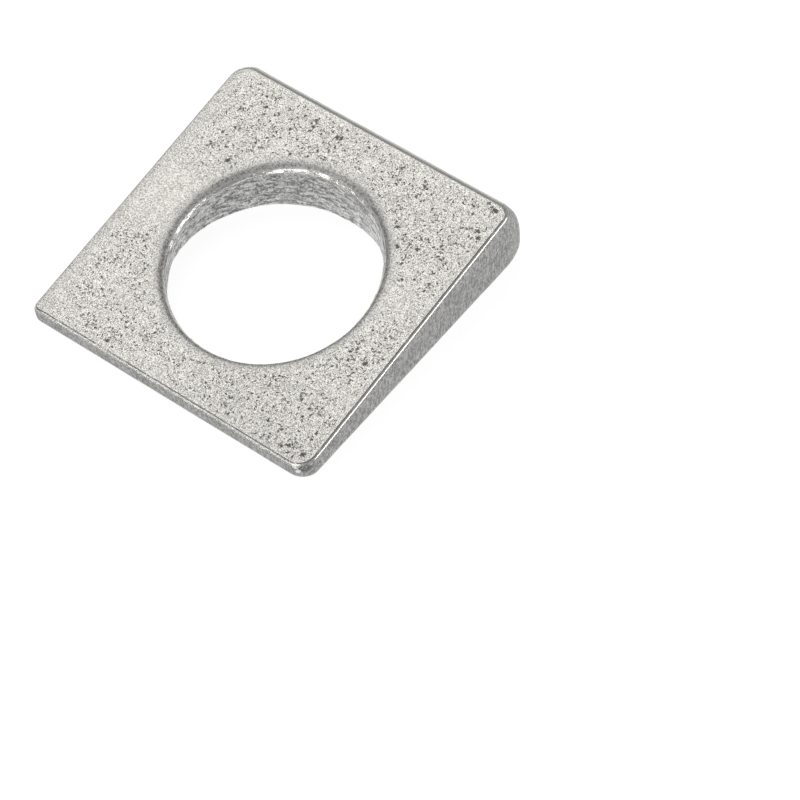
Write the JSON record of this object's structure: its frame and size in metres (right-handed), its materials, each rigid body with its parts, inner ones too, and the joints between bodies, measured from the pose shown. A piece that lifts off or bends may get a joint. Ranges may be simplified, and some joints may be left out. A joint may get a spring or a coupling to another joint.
{
  "type": "square beveled washer",
  "caption": "Square beveled washer with a round bolt hole: a plated steel wedge that levels a bolt head or nut on a sloping flange.",
  "frame": {"origin": "on the flat bearing face, at the middle of the washer's footprint; the hole's axis is 0.6 mm towards +X and 1.7 mm towards -Y from it", "axes": "+Z along the bolt hole, from the flat bearing face up to the inclined face; +Y from the thin edge to the thick edge; +X along those two edges"},
  "size_m": [0.0404, 0.0422, 0.0095],
  "materials": {
    "plated_steel": "dull pale plated steel, sand-like grain with fine dark pits"
  },
  "bodies": {
    "root": {"square_beveled_washer": "plated_steel"}
  },
  "joints": []
}
